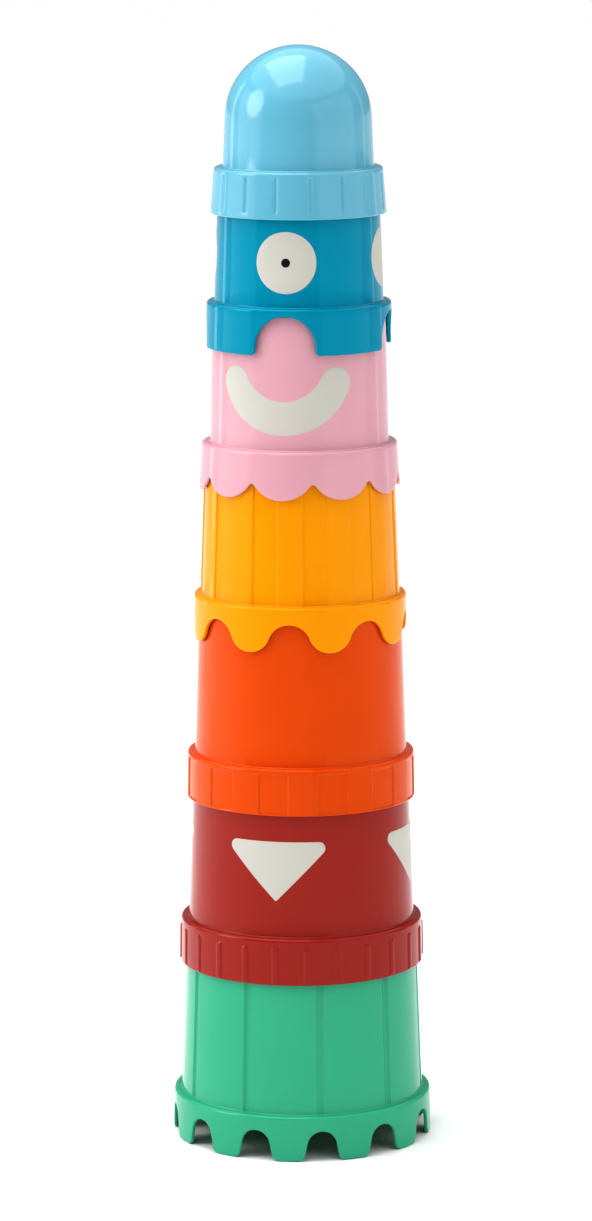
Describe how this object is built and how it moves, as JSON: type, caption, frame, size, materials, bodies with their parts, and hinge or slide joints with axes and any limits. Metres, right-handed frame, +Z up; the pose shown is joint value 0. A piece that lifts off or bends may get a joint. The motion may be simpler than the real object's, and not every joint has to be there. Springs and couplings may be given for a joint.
{
  "type": "stacking cup tower",
  "caption": "Tapered toy tower of hollow plastic stacking cups, mouth down, each skirt seated over the closed top below, with a round-topped cup and a printed face.",
  "frame": {"origin": "centre of the base on the floor, on the common axis of all the cups", "axes": "+Z up along the tower's axis, the printed face looks along -Y"},
  "size_m": [0.0952, 0.0952, 0.4],
  "materials": {
    "green": "smooth glossy moulded plastic",
    "dark_red": "smooth glossy moulded plastic",
    "orange": "smooth glossy moulded plastic",
    "yellow": "smooth glossy moulded plastic",
    "pink": "smooth glossy moulded plastic",
    "blue": "smooth glossy moulded plastic",
    "light_blue": "smooth glossy moulded plastic",
    "print_white": "flat warm white print",
    "print_black": "flat black print"
  },
  "bodies": {
    "green_cup": {"green_cup": "green"},
    "red_cup": {"red_cup": "dark_red", "triangle_1": "print_white", "triangle_2": "print_white", "triangle_3": "print_white", "triangle_4": "print_white"},
    "orange_cup": {"orange_cup": "orange"},
    "yellow_cup": {"yellow_cup": "yellow"},
    "pink_cup": {"pink_cup": "pink", "smile_1": "print_white", "smile_2": "print_white"},
    "blue_cup": {"blue_cup": "blue", "eye_white_1": "print_white", "eye_white_2": "print_white", "eye_white_3": "print_white", "eye_white_4": "print_white", "eye_pupil_1": "print_black", "eye_pupil_2": "print_black"},
    "dome_cup": {"dome_cup": "light_blue"}
  },
  "joints": [
    {"name": "red_lift", "type": "slide", "parent": "green_cup", "child": "red_cup", "axis": [0, 0, 1], "range_m": [0, 0.04]},
    {"name": "orange_lift", "type": "slide", "parent": "red_cup", "child": "orange_cup", "axis": [0, 0, 1], "range_m": [0, 0.04]},
    {"name": "yellow_lift", "type": "slide", "parent": "orange_cup", "child": "yellow_cup", "axis": [0, 0, 1], "range_m": [0, 0.04]},
    {"name": "pink_lift", "type": "slide", "parent": "yellow_cup", "child": "pink_cup", "axis": [0, 0, 1], "range_m": [0, 0.04]},
    {"name": "blue_lift", "type": "slide", "parent": "pink_cup", "child": "blue_cup", "axis": [0, 0, 1], "range_m": [0, 0.04]},
    {"name": "dome_lift", "type": "slide", "parent": "blue_cup", "child": "dome_cup", "axis": [0, 0, 1], "range_m": [0, 0.04]}
  ]
}
